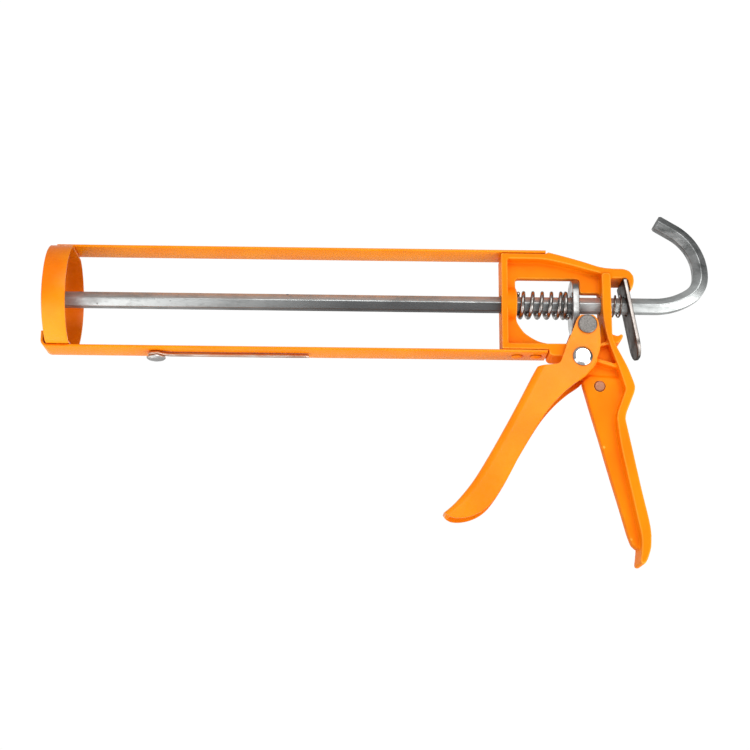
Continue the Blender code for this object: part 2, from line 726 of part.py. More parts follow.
def channel():
    """A U section carried down the grip's front line and thickened inwards."""
    line = smooth(GRIP_FRONT, 3)
    section = channel_section()
    mesh = bpy.data.meshes.new("channel")
    bm = bmesh.new()
    rows = []
    for x, z in line:
        row = [(x + depth, y * narrowed(x + depth, z), z) for depth, y in section]
        rows.append([bm.verts.new([c * MM for c in point]) for point in row])
    for upper, lower in zip(rows, rows[1:]):
        for i in range(len(section) - 1):
            bm.faces.new((upper[i], upper[i + 1], lower[i + 1], lower[i]))
    bmesh.ops.recalc_face_normals(bm, faces=bm.faces)
    bm.to_mesh(mesh)
    bm.free()
    obj = link_mesh(mesh, "channel", CUTTERS)
    thick = obj.modifiers.new("sheet", "SOLIDIFY")
    thick.thickness = SHEET_T * MM
    thick.offset = -1.0
    thick.use_even_offset = True
    return obj


def trigger(pivot):
    front_edge = [(27.0, -107.5), (38.0, -98.0), (47.5, -86.5), (68.0, -51.0), (77.5, -34.4)]
    ear_front = [(84.0, -33.9), (91.0, -33.3), (92.8, -29.0), (95.1, -22.0), (97.4, -17.0)]
    ear_top = arc(DRIVE_PIN, EAR_TOP_R, 160, 20, 8)
    outline = [*front_edge, *ear_front, *ear_top, *smooth(TRIGGER_REAR, 2)]
    obj = channel()
    combine(obj, side_plate("trigger_outline", outline, THROUGH), "INTERSECT")
    cut(obj, cross_bore("ear_bore", PIVOT_SHANK_R + GAP, PIVOT, 28),
        cross_bore("drive_bore", DRIVE_SHANK_R + GAP, DRIVE_PIN, 20))
    return finish(to_parts(settle(obj)), "trigger", PAINT, pivot, PIVOT)


def mirrored(half):
    """A profile given from the middle out to +y, completed on the -y side."""
    return [(-along, radius) for along, radius in reversed(half)] + half


def pivot_pin(pivot):
    head = EAR_OUT + GAP
    half = [(head, PIVOT_SHANK_R), (head, PIVOT_HEAD_R), (head + 0.3, PIVOT_HEAD_R - 0.1),
            (head + 1.2, PIVOT_FACE_R), (head + 1.4, PIVOT_FACE_R - 0.3)]
    pin = turned("pivot_pin", "y", mirrored(half), (PIVOT[0], 0, PIVOT[1]), 36)
    return finish(to_parts(pin), "pivot_pin", BRIGHT, pivot, PIVOT)


def drive_pin(pivot):
    head = EAR_OUT + GAP
    half = [(head, DRIVE_SHANK_R), (head, DRIVE_HEAD_R), (head + 0.7, DRIVE_HEAD_R),
            (head + 1.1, DRIVE_HEAD_R - 0.5)]
    pin = turned("drive_pin", "y", mirrored(half), (DRIVE_PIN[0], 0, DRIVE_PIN[1]), 32)
    return finish(to_parts(pin), "drive_pin", STEEL, pivot, PIVOT)


def drive_roller(pivot):
    centre = (DRIVE_PIN[0], 0, DRIVE_PIN[1])
    end = EAR_IN - GAP
    roller = drum("drive_roller", "y", ROLLER_R, -end, end, centre, 32)
    cut(roller, cross_bore("roller_bore", DRIVE_SHANK_R + GAP, DRIVE_PIN, 24))
    axle = empty("roller_axle", DRIVE_PIN[0] - PIVOT[0], DRIVE_PIN[1] - PIVOT[1], pivot)
    roller = finish(to_parts(settle(roller)), "drive_roller", STEEL, pivot, DRIVE_PIN)
    roller.parent = axle
    roller.location = (0, 0, 0)
    return roller


def handle_dowel():
    half = [(DOWEL_END_Y - 0.3, DOWEL_R), (DOWEL_END_Y, DOWEL_R - 0.3)]
    dowel = turned("handle_dowel", "y", mirrored(half), (DOWEL[0], 0, DOWEL[1]), 24)
    return finish(to_parts(dowel), "handle_dowel", STEEL, ROD_AXIS, DOWEL)


def main():
    body_casting()
    front_ring()
    top_strap()
    bottom_strap()
    for name, side in (("top_strap_rivet", 1), ("bottom_strap_rivet", -1)):
        for place, x in zip(("front", "rear"), STRAP_RIVET_XS):
            strap_rivet(f"{name}_{place}", x, side)
    piercing_wire()
    piercer_rivet()
    slide = empty("piston_slide", 0, 0, ROD_AXIS)
    plunger_rod(slide)
    piston_disc(slide)
    piston_washer(slide)
    piston_nut(slide)
    main_spring()
    drive_plate()
    release_plate()
    release_spring()
    pivot = empty("trigger_pivot", *PIVOT, ROD_AXIS)
    trigger(pivot)
    pivot_pin(pivot)
    drive_pin(pivot)
    drive_roller(pivot)
    handle_dowel()


main()
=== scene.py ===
import math

import bmesh
import bpy
from mathutils import Matrix, Vector


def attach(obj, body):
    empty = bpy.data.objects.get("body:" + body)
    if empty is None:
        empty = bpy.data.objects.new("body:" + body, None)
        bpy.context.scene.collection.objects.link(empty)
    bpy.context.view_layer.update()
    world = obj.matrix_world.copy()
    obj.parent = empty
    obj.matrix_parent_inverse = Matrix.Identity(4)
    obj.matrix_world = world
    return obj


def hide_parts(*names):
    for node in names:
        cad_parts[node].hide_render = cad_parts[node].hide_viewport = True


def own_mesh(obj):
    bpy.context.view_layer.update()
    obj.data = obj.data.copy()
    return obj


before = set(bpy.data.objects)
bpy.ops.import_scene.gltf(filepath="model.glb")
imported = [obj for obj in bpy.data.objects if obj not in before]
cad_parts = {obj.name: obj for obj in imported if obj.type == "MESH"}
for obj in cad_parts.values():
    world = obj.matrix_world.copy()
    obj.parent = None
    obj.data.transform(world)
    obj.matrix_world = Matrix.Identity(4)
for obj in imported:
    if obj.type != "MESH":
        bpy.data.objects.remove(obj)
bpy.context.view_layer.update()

MM = 0.001
ROD_HEIGHT = 0.075
TO_PART = Matrix.Translation((-0.121, 0.0, ROD_HEIGHT)) @ Matrix.Scale(MM, 4)

# Camera: it looks along +Y, a little upwards, from below the cradle.
CAMERA_AT = (-0.1322, -0.7451, -0.1570)
CAMERA_AZIMUTH = math.radians(0.85)
CAMERA_ELEVATION = math.radians(14.64)
CAMERA_ROLL = math.radians(0.455)
CAMERA_LENS = 74.06
SENSOR_WIDTH = 36.0

# The room: how bright its left and right sides are, and the strength of its light.
FLOOR_Z = -0.25
FLOOR_SIZE = 12.0
FLOOR_GREY = 0.9
ROOM_LEFT = 0.52
ROOM_RIGHT = 0.2
ROOM_STRENGTH = 1.02

# Lamps: name, place, the point aimed at, size and watts.
LAMPS = [
    ("key", (0.15, -1.1, 0.65), (-0.02, 0, 0.03), (1.0, 0.8), 7.4),
    ("front", (-0.02, -0.9, 0.33), (-0.02, 0, 0.05), (0.4, 0.3), 1.0),
    ("bounce_left", (-0.72, -0.25, -0.24), (-0.72, -0.25, 1.0), (0.9, 0.8), 4.5),
    ("bounce_right", (0.46, -0.25, -0.24), (0.46, -0.25, 1.0), (0.7, 0.8), 5.4),
]


# --- Scene ---------------------------------------------------------------------------------------

def camera():
    az, el, roll = CAMERA_AZIMUTH, CAMERA_ELEVATION, CAMERA_ROLL
    ahead = Vector((math.sin(az) * math.cos(el), math.cos(az) * math.cos(el), math.sin(el)))
    level = ahead.cross(Vector((0, 0, 1))).normalized()
    upright = level.cross(ahead)
    right = level * math.cos(roll) + upright * math.sin(roll)
    up = upright * math.cos(roll) - level * math.sin(roll)
    data = bpy.data.cameras.new("camera")
    data.lens = CAMERA_LENS
    data.sensor_width = SENSOR_WIDTH
    data.clip_start = 0.01
    data.clip_end = 50.0
    obj = bpy.data.objects.new("camera", data)
    bpy.context.scene.collection.objects.link(obj)
    turn = Matrix((right, up, -ahead)).transposed().to_4x4()
    obj.matrix_world = Matrix.Translation(CAMERA_AT) @ turn
    bpy.context.scene.camera = obj


def area_light(name, place, aim, size, power):
    data = bpy.data.lights.new(name, "AREA")
    data.shape = "RECTANGLE"
    data.size, data.size_y = size
    data.energy = power
    obj = bpy.data.objects.new(name, data)
    bpy.context.scene.collection.objects.link(obj)
    obj.location = place
    obj.rotation_euler = (Vector(aim) - Vector(place)).to_track_quat("-Z", "Y").to_euler()


def surroundings():
    """A studio room: white behind the part, mid grey at the left and dim at the right. The
    directions are parts of a unit vector: x to the right, y away from the camera, z up."""
    world = bpy.data.worlds.new("studio_room")
    bpy.context.scene.world = world
    world.use_nodes = True
    tree = world.node_tree
    back = tree.nodes["Background"]
    where = tree.nodes.new("ShaderNodeTexCoord")
    split = tree.nodes.new("ShaderNodeSeparateXYZ")
    tree.links.new(where.outputs["Generated"], split.inputs[0])

    def eased(axis, low, high, to_low, to_high):
        node = tree.nodes.new("ShaderNodeMapRange")
        node.interpolation_type = "SMOOTHSTEP"
        for socket, value in zip(("From Min", "From Max", "To Min", "To Max"),
                                 (low, high, to_low, to_high)):
            node.inputs[socket].default_value = value
        tree.links.new(split.outputs[axis], node.inputs["Value"])
        return node.outputs[0]

    def combined(operation, first, second):
        node = tree.nodes.new("ShaderNodeMath")
        node.operation = operation
        tree.links.new(first, node.inputs[0])
        tree.links.new(second, node.inputs[1])
        return node.outputs[0]

    behind = eased("Y", 0.35, 0.75, 0.0, 1.0)
    below_ceiling = eased("Z", 0.5, 0.8, 1.0, 0.0)
    backdrop = combined("MULTIPLY", behind, below_ceiling)
    sides = eased("X", -0.5, 0.8, ROOM_LEFT, ROOM_RIGHT)
    tree.links.new(combined("MAXIMUM", backdrop, sides), back.inputs["Color"])
    back.inputs["Strength"].default_value = ROOM_STRENGTH
    bpy.context.scene.view_settings.view_transform = "Standard"


def floor():
    bpy.ops.mesh.primitive_plane_add(size=FLOOR_SIZE, location=(0.0, 0.0, FLOOR_Z))
    obj = bpy.context.object
    obj.name = "floor"
    mat = bpy.data.materials.new("pale_floor")
    mat.use_nodes = True
    shader = mat.node_tree.nodes["Principled BSDF"]
    shader.inputs["Base Color"].default_value = (FLOOR_GREY, FLOOR_GREY, FLOOR_GREY, 1.0)
    shader.inputs["Roughness"].default_value = 0.8
    obj.data.materials.append(mat)


# --- Materials -----------------------------------------------------------------------------------

class Look:
    """A Principled material with textures laid out in the part's own coordinates."""

    def __init__(self, name, **sockets):
        self.mat = bpy.data.materials.new(name)
        self.mat.use_nodes = True
        self.tree = self.mat.node_tree
        self.shader = self.tree.nodes["Principled BSDF"]
        for socket, value in sockets.items():
            self.shader.inputs[socket.replace("_", " ")].default_value = value
        self.where = self.tree.nodes.new("ShaderNodeTexCoord").outputs["Object"]

    def link(self, source, target):
        self.tree.links.new(source, target)

    def noise(self, scale, detail=2.0, roughness=0.5, stretch=(1.0, 1.0, 1.0), shift=0.0):
        place = self.tree.nodes.new("ShaderNodeMapping")
        place.inputs["Scale"].default_value = stretch
        place.inputs["Location"].default_value = (shift, shift * 0.7, -shift)
        tex = self.tree.nodes.new("ShaderNodeTexNoise")
        tex.inputs["Scale"].default_value = scale
        tex.inputs["Detail"].default_value = detail
        tex.inputs["Roughness"].default_value = roughness
        self.link(self.where, place.inputs["Vector"])
        self.link(place.outputs[0], tex.inputs["Vector"])
        return tex.outputs["Fac"]

    def position(self, axis):
        split = self.tree.nodes.new("ShaderNodeSeparateXYZ")
        self.link(self.where, split.inputs[0])
        return split.outputs[axis]

    def sideways(self):
        """1 where the surface faces along y."""
        split = self.tree.nodes.new("ShaderNodeSeparateXYZ")
        self.link(self.tree.nodes.new("ShaderNodeTexCoord").outputs["Normal"], split.inputs[0])
        either_way = self.tree.nodes.new("ShaderNodeMath")
        either_way.operation = "ABSOLUTE"
        self.link(split.outputs["Y"], either_way.inputs[0])
        return self.ranged(either_way.outputs[0], 0.6, 0.9)

    def cells(self, scale, shift=0.0):
        """Distance from scattered points, for specks."""
        place = self.tree.nodes.new("ShaderNodeMapping")
        place.inputs["Location"].default_value = (shift, 0.0, shift)
        tex = self.tree.nodes.new("ShaderNodeTexVoronoi")
        tex.inputs["Scale"].default_value = scale
        self.link(self.where, place.inputs["Vector"])
        self.link(place.outputs[0], tex.inputs["Vector"])
        return tex.outputs["Distance"]

    def ranged(self, source, low, high, to_low=0.0, to_high=1.0):
        node = self.tree.nodes.new("ShaderNodeMapRange")
        node.clamp = True
        for socket, value in zip(("From Min", "From Max", "To Min", "To Max"),
                                 (low, high, to_low, to_high)):
            node.inputs[socket].default_value = value
        self.link(source, node.inputs["Value"])
        return node.outputs[0]

    def mixed(self, share, first, second):
        """Two colours mixed. Inputs 6 and 7 and output 2 are the Mix node's colour sockets."""
        node = self.tree.nodes.new("ShaderNodeMix")
        node.data_type = "RGBA"
        self.link(share, node.inputs["Factor"])
        for colour, socket in ((first, node.inputs[6]), (second, node.inputs[7])):
            if isinstance(colour, tuple):
                socket.default_value = (*colour, 1.0)
            else:
                self.link(colour, socket)
        return node.outputs[2]

    def times(self, first, second):
        node = self.tree.nodes.new("ShaderNodeMath")
        node.operation = "MULTIPLY"
        self.link(first, node.inputs[0])
        self.link(second, node.inputs[1])
        return node.outputs[0]

    def shelter(self, distance, low, high):
        """1 in corners and under overhangs, 0 in the open: the mask for painted shade."""
        node = self.tree.nodes.new("ShaderNodeAmbientOcclusion")
        node.samples = 8
        node.inputs["Distance"].default_value = distance
        return self.ranged(node.outputs["AO"], low, high, 1.0, 0.0)

    def ridges(self, low, high):
        """1 along outward edges."""
        geometry = self.tree.nodes.new("ShaderNodeNewGeometry")
        return self.ranged(geometry.outputs["Pointiness"], low, high)

    def colour(self, source):
        self.link(source, self.shader.inputs["Base Color"])

    def roughness(self, source):
        self.link(source, self.shader.inputs["Roughness"])

    def bump(self, source, strength, distance):
        node = self.tree.nodes.new("ShaderNodeBump")
        node.inputs["Strength"].default_value = strength
        node.inputs["Distance"].default_value = distance
        self.link(source, node.inputs["Height"])
        previous = self.shader.inputs["Normal"].links
        if previous:
            self.link(previous[0].from_socket, node.inputs["Normal"])
        self.link(node.outputs[0], self.shader.inputs["Normal"])


# Painted shade: the deeper orange that corners and recesses take.
PAINTED_SHADE_ORANGE = (0.82, 0.135, 0.0008)
NIB_BROWN = (0.22, 0.04, 0.004)


def paint(name, shift, tone, deep, gloss, depth=0.006, peel=0.05, rough=(0.2, 0.36),
          patches=38.0, edge_highlight=None):
    """Orange paint in two shades, with orange peel, duller patches and a few dark nibs. Up to
    `depth` metres from a corner it is deeper: painted shade. A larger `patches` gives smaller
    changes of shade. `edge_highlight` is a lighter tone on outward edges: a painted
    highlight."""
    look = Look(name, Roughness=0.3, Specular_IOR_Level=gloss)
    broad = look.ranged(look.noise(patches, 3.0, shift=shift), 0.35, 0.65)
    fine = look.ranged(look.noise(420.0, 4.0, shift=shift), 0.3, 0.7)
    body = look.mixed(broad, tone, deep)
    # Painted shade: deeper orange in corners, in recesses and under overhangs.
    body = look.mixed(look.shelter(depth, 0.3, 0.85), body, PAINTED_SHADE_ORANGE)
    # Painted highlight: outward edges take a lighter orange.
    if edge_highlight:
        body = look.mixed(look.ridges(0.515, 0.56), body, edge_highlight)
    nibs = look.ranged(look.cells(62.0, shift), 0.028, 0.04, 1.0, 0.0)
    rare = look.ranged(look.noise(55.0, 1.0, shift=shift + 3.1), 0.62, 0.66)
    look.colour(look.mixed(look.times(nibs, rare), body, NIB_BROWN))
    look.roughness(look.ranged(fine, 0.0, 1.0, *rough))
    look.bump(look.noise(650.0, 2.0, shift=shift), peel, 0.0003)
    look.bump(look.noise(90.0, 2.0, shift=shift), peel, 0.001)
    return look.mat


ALL_WAYS = (1, 1, 1)
ALONG_ROD = (0.35, 1, 1)
DRAWING_LINES = (0.18, 0.18, 0.18)
SPECKS = (0.06, 0.055, 0.05)
# The first colour is painted shade on the rod's underside; the next two are the hook's tones.
PAINTED_SHADE_GREY = (0.05, 0.052, 0.055)
HOOK_LIGHT = (0.26, 0.265, 0.265)
HOOK_DARK = (0.07, 0.073, 0.073)


def rod_shade_and_hook_tone(look, base, cloud, start, end):
    """The rod's lower half is dark from start to end along x, and fades out past them: painted
    shade. The hook, which stands above the rod, is darker and more cloudy."""
    along, height = look.position("X"), look.position("Z")
    span = look.times(look.ranged(along, start - 0.08, start + 0.03),
                      look.ranged(along, end - 0.02, end + 0.04, 1.0, 0.0))
    under = look.ranged(height, ROD_HEIGHT - 0.0004, ROD_HEIGHT + 0.0001, 0.87, 0.0)
    # Painted shade: the rod's underside is darkened between start and end.
    base = look.mixed(look.times(span, under), base, PAINTED_SHADE_GREY)
    hook_tone = look.mixed(cloud, HOOK_LIGHT, HOOK_DARK)
    hook = look.ranged(height, ROD_HEIGHT + 0.007, ROD_HEIGHT + 0.019, 0.0, 0.85)
    return look.mixed(hook, base, hook_tone)


def zinc(name, shift, light=(0.60, 0.61, 0.61), dull=(0.30, 0.31, 0.31), stretch=ALL_WAYS,
         rough=(0.24, 0.44), shade_span=None, cut_edge_and_highlight=None, grazing=1.0, metal=1.0):
    """Zinc plating with cloudy dull patches, fine drawing lines and dark specks. Faces that
    look along y can take the tone of a cut edge; where that tone is lighter, it is also a painted
    highlight. `shade_span` is for the rod: see rod_shade_and_hook_tone."""
    look = Look(name, Metallic=metal, Roughness=0.3, Specular_Tint=(grazing, grazing, grazing, 1.0))
    cloud = look.ranged(look.noise(160.0, 5.0, 0.65, stretch, shift), 0.42, 0.66)
    grain = look.ranged(look.noise(900.0, 3.0, 0.6, stretch, shift), 0.3, 0.75)
    base = look.mixed(cloud, light, dull)
    base = look.mixed(look.ranged(grain, 0.55, 1.0, 0.0, 0.35), base, DRAWING_LINES)
    # Faces along y take the edge tone; on the thumb plate this lighter tone is partly a painted
    # highlight.
    if cut_edge_and_highlight:
        base = look.mixed(look.sideways(), base, cut_edge_and_highlight)
    spots = look.ranged(look.cells(150.0, shift), 0.07, 0.12, 1.0, 0.0)
    rare = look.ranged(look.noise(120.0, 1.0, shift=shift + 1.7), 0.56, 0.60)
    base = look.mixed(look.times(spots, rare), base, SPECKS)
    if shade_span:
        base = rod_shade_and_hook_tone(look, base, cloud, *shade_span)
    look.colour(base)
    look.roughness(look.ranged(cloud, 0.0, 1.0, *rough))
    look.bump(grain, 0.03, 0.0001)
    return look.mat


def steel(name, shift, tone=(0.42, 0.40, 0.38), dark=(0.2, 0.19, 0.18), rough=(0.32, 0.5),
          scale=500.0):
    """Bare steel with an even grain; a larger scale makes it finer."""
    look = Look(name, Metallic=1.0, Roughness=0.4)
    grain = look.ranged(look.noise(scale, 4.0, 0.6, shift=shift), 0.35, 0.7)
    look.colour(look.mixed(grain, tone, dark))
    look.roughness(look.ranged(grain, 0.0, 1.0, *rough))
    look.bump(grain, 0.15, 0.0001)
    return look.mat


# --- Mesh helpers --------------------------------------------------------------------------------

def show(name, mesh, body, nodes, mat, sharp=35.0):
    """Put a finished mesh, drawn from the rod's axis, on its body in place of CAD nodes."""
    mesh.transform(TO_PART)
    mesh.materials.clear()
    mesh.materials.append(mat)
    mesh.shade_smooth()
    mesh.set_sharp_from_angle(angle=math.radians(sharp))
    obj = bpy.data.objects.new(name, mesh)
    bpy.context.scene.collection.objects.link(obj)
    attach(obj, body)
    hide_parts(*nodes)


def mesh_of(bm, name):
    bmesh.ops.recalc_face_normals(bm, faces=bm.faces)
    mesh = bpy.data.meshes.new(name)
    bm.to_mesh(mesh)
    bm.free()
    return mesh


def temporary(mesh):
    obj = bpy.data.objects.new("work", mesh)
    bpy.context.scene.collection.objects.link(obj)
    return obj


def applied(obj):
    """The mesh after its modifiers; the working object goes."""
    bpy.context.view_layer.update()
    graph = bpy.context.evaluated_depsgraph_get()
    mesh = bpy.data.meshes.new_from_object(obj.evaluated_get(graph))
    bpy.data.objects.remove(obj, do_unlink=True)
    return mesh


def with_modifier(mesh, kind, **settings):
    obj = temporary(mesh)
    step = obj.modifiers.new("step", kind)
    for key, value in settings.items():
        setattr(step, key, value)
    return applied(obj)


def boolean(mesh, other, operation):
    obj, tool = temporary(mesh), temporary(other)
    step = obj.modifiers.new("step", "BOOLEAN")
    step.operation = operation
    step.solver = "EXACT"
    step.object = tool
    result = applied(obj)
    bpy.data.objects.remove(tool, do_unlink=True)
    return result


# Corners under these turns are left alone, or blended over a distance of their own.
STRAIGHT = math.radians(1.0)
SLIGHT_TURN = math.radians(25)


def arc(centre, radius, start, end, steps):
    """Points on a circle, from one angle to another in degrees."""
    points = []
    for i in range(steps + 1):
        angle = math.radians(start + (end - start) * i / steps)
        points.append((centre[0] + radius * math.cos(angle), centre[1] + radius * math.sin(angle)))
    return points


def smooth(handles, per_span):
    """Catmull-Rom points through the handles."""
    ends = [handles[0], *handles, handles[-1]]
    points = []
    for a, b, c, d in zip(ends, ends[1:], ends[2:], ends[3:]):
        for i in range(per_span):
            t = i / per_span
            points.append(tuple(
                0.5 * (2 * q + (r - p) * t + (2 * p - 5 * q + 4 * r - s) * t * t
                       + (3 * q - p - 3 * r + s) * t ** 3)
                for p, q, r, s in zip(a, b, c, d)))
    points.append(handles[-1])
    return points


def rounded(points, radius, closed=True, steps=4, gentle=12.0):
    """Round an outline's corners; slight corners blend over the `gentle` distance instead."""
    out = []
    count = len(points)
    for i, here in enumerate(points):
        if not closed and i in (0, count - 1):
            out.append(here)
            continue
        p, a, b = Vector(here), Vector(points[i - 1]), Vector(points[(i + 1) % count])
        back, on = a - p, b - p
        if back.length < 1e-6 or on.length < 1e-6:
            continue
        turn = math.pi - back.angle(on, math.pi)
        if turn < STRAIGHT:
            out.append(here)
            continue
        reach = gentle if turn < SLIGHT_TURN else radius * math.tan(turn / 2)
        reach = min(reach, 0.45 * back.length, 0.45 * on.length)
        start, end = p + back.normalized() * reach, p + on.normalized() * reach
        for k in range(steps + 1):
            t = k / steps
            out.append(tuple(start * (1 - t) ** 2 + p * 2 * t * (1 - t) + end * t * t))
    return out


def outline_mesh(rings, half, edge=0.0, plane="xz", low=None):
    """A flat outline with optional holes, as thick as 2 * half, with rounded rims. On plane
    "xz" it is centred on y = 0; on "yz" its front face is at x = low."""
    curve = bpy.data.curves.new("outline", "CURVE")
    curve.dimensions = "2D"
    curve.fill_mode = "BOTH"
    curve.extrude = half - edge
    curve.bevel_depth = edge
    curve.offset = -edge
    curve.bevel_resolution = 2 if edge else 0
    for points in rings:
        spline = curve.splines.new("POLY")
        spline.points.add(len(points) - 1)
        for slot, (u, v) in zip(spline.points, points):
            slot.co = (u, v, 0.0, 1.0)
        spline.use_cyclic_u = True
    obj = bpy.data.objects.new("outline", curve)
    bpy.context.scene.collection.objects.link(obj)
    mesh = applied(obj)
    if plane == "xz":
        mesh.transform(Matrix.Rotation(math.pi / 2, 4, "X"))
    else:
        mesh.transform(Matrix(((0, 0, 1, 0), (1, 0, 0, 0), (0, 1, 0, 0), (0, 0, 0, 1))))
        mesh.transform(Matrix.Translation((low + half, 0, 0)))
    bm = bmesh.new()
    bm.from_mesh(mesh)
    bmesh.ops.remove_doubles(bm, verts=bm.verts, dist=0.002)
    bmesh.ops.recalc_face_normals(bm, faces=bm.faces)
    bm.to_mesh(mesh)
    bm.free()
    return mesh


def sweep(path, section, across, closed=False, scales=None):
    """Carry a section along a path that lies in a plane; `across` is that plane's normal.
    A section point is (along `across`, along the path's own normal). Rows are stretched at
    bends, so the section keeps its thickness."""
    bm = bmesh.new()
    path = [Vector(p) for p in path]
    across = Vector(across)
    count = len(path)
    rows = []
    for i, here in enumerate(path):
        ahead = path[(i + 1) % count] if closed or i + 1 < count else here
        behind = path[i - 1] if closed or i else here
        tangent = (ahead - behind).normalized()
        side = across.cross(tangent)
        if i == 0 and not closed:
            stretch = 1.0
        else:
            before, after = (here - behind), (ahead - here)
            bend = before.angle(after, 0.0) if before.length and after.length else 0.0
            stretch = 1.0 / math.cos(bend / 2)
        scale = scales[i] if scales else 1.0
        rows.append([bm.verts.new(here + across * a * scale + side * b * scale * stretch)
                     for a, b in section])
    size = len(section)
    for upper, lower in list(zip(rows, rows[1:])) + ([(rows[-1], rows[0])] if closed else []):
        for k in range(size):
            m = (k + 1) % size
            bm.faces.new((upper[k], upper[m], lower[m], lower[k]))
    if not closed:
        bm.faces.new(rows[0])
        bm.faces.new(list(reversed(rows[-1])))
    return mesh_of(bm, "sweep")


def rounded_section(half_a, half_b, radius, steps=3):
    """A rectangle with rounded corners, for sweep()."""
    points = []
    for sa, sb, start in ((1, 1, 0), (-1, 1, 90), (-1, -1, 180), (1, -1, 270)):
        centre = (sa * (half_a - radius), sb * (half_b - radius))
        points += arc(centre, radius, start, start + 90, steps)
    return points


# How far a wire's end stands out, and how wide it is there, in wire radii.
CHAMFER_OUT = 0.3
CHAMFER_IN = 0.6


def tube(points, radius, sides=12, radii=None):
    """A round wire along points in space, with chamfered ends."""
    bm = bmesh.new()
    points = [Vector(p) for p in points]
    radii = radii or [1.0] * len(points)
    tangent = (points[1] - points[0]).normalized()
    normal = tangent.orthogonal().normalized()
    rows = []

    def ring(centre, axis, spread):
        other = axis.cross(normal)
        return [bm.verts.new(centre + (normal * math.cos(t) + other * math.sin(t)) * spread)
                for t in (math.tau * k / sides for k in range(sides))]

    for i, here in enumerate(points):
        ahead = points[min(i + 1, len(points) - 1)]
        behind = points[max(i - 1, 0)]
        fresh = (ahead - behind).normalized()
        normal = (normal - fresh * normal.dot(fresh)).normalized()
        spread = radius * radii[i]
        if i == 0:
            rows.append(ring(here - fresh * spread * CHAMFER_OUT, fresh, spread * CHAMFER_IN))
        rows.append(ring(here, fresh, spread))
        if i == len(points) - 1:
            rows.append(ring(here + fresh * spread * CHAMFER_OUT, fresh, spread * CHAMFER_IN))
    for upper, lower in zip(rows, rows[1:]):
        for k in range(sides):
            m = (k + 1) % sides
            bm.faces.new((upper[k], upper[m], lower[m], lower[k]))
    bm.faces.new(rows[0])
    bm.faces.new(list(reversed(rows[-1])))
    return mesh_of(bm, "tube")


SAME_POINT = 1e-4

# Turns that carry a profile drawn along x onto each axis.
AXES = {
    "x": Matrix.Identity(4),
    "y": Matrix(((0, 0, 1, 0), (1, 0, 0, 0), (0, 1, 0, 0), (0, 0, 0, 1))),
    "z": Matrix(((0, 1, 0, 0), (0, 0, 1, 0), (1, 0, 0, 0), (0, 0, 0, 1))),
}


def lathe(profile, axis, centre=(0, 0, 0), sides=64, loop=False, edge=0.25):
    """Turn a profile of (along, radius) about an axis. A loop makes a ring with a hole;
    otherwise the two ends run to the axis. Repeated points are left out."""
    if loop:
        chain = rounded(profile, edge, closed=True, steps=3, gentle=0.0)
    else:
        ends = [(profile[0][0], 0.0), *profile, (profile[-1][0], 0.0)]
        chain = rounded(ends, edge, closed=False, steps=3, gentle=0.0)
    bm = bmesh.new()
    rows = []
    previous = None
    for along, radius in chain:
        if previous and math.dist(previous, (along, radius)) < SAME_POINT:
            continue
        previous = (along, radius)
        if radius < 1e-6:
            rows.append([bm.verts.new((along, 0, 0))])
            continue
        rows.append([bm.verts.new((along, radius * math.cos(t), radius * math.sin(t)))
                     for t in (math.tau * k / sides for k in range(sides))])
    pairs = list(zip(rows, rows[1:])) + ([(rows[-1], rows[0])] if loop else [])
    for a, b in pairs:
        for k in range(sides):
            m = (k + 1) % sides
            corners = [a[k % len(a)], a[m % len(a)], b[m % len(b)], b[k % len(b)]]
            corners = list(dict.fromkeys(corners))
            if len(corners) > 2:
                bm.faces.new(corners)
    mesh = mesh_of(bm, "lathe")
    mesh.transform(Matrix.Translation(centre) @ AXES[axis])
    return mesh


def merged(*meshes):
    bm = bmesh.new()
    for mesh in meshes:
        bm.from_mesh(mesh)
    out = bpy.data.meshes.new("merged")
    bm.to_mesh(out)
    bm.free()
    return out


def block(low, high):
    bm = bmesh.new()
    middle = [(a + b) / 2 for a, b in zip(low, high)]
    size = [b - a for a, b in zip(low, high)]
    place = Matrix.Translation(middle) @ Matrix.Diagonal((*size, 1.0))
    bmesh.ops.create_cube(bm, size=1.0, matrix=place)
    return mesh_of(bm, "block")


# --- Casting -------------------------------------------------------------------------------------

CAST_TOP = 25.1
FRONT_X = 63.0
LEG_X0, LEG_X1 = 113.3, 117.8
WEB_HALF = 2.2
HANDLE_HALF = 3.6
RIM_HALF = 8.4
LOW_RIM_HALF = 8.2
FLANGE_HALF = 9.6
SPUR_HALF = 7.4
LUG_HALF = 9.7
LUG_R = 7.6
BOSS_R = 8.5
VOXEL = 0.42

# Places (x, z) of the pins along y, and the bore radii that clear what goes through them.
PIVOT = (102.3, -29.4)
DRIVE_PIN = (105.1, -12.9)
DOWEL = (111.6, -42.7)
ROD_BORE_R = 4.8
PIVOT_BORE_R = 4.0
DRIVE_BORE_R = 2.3
DOWEL_BORE_R = 2.85

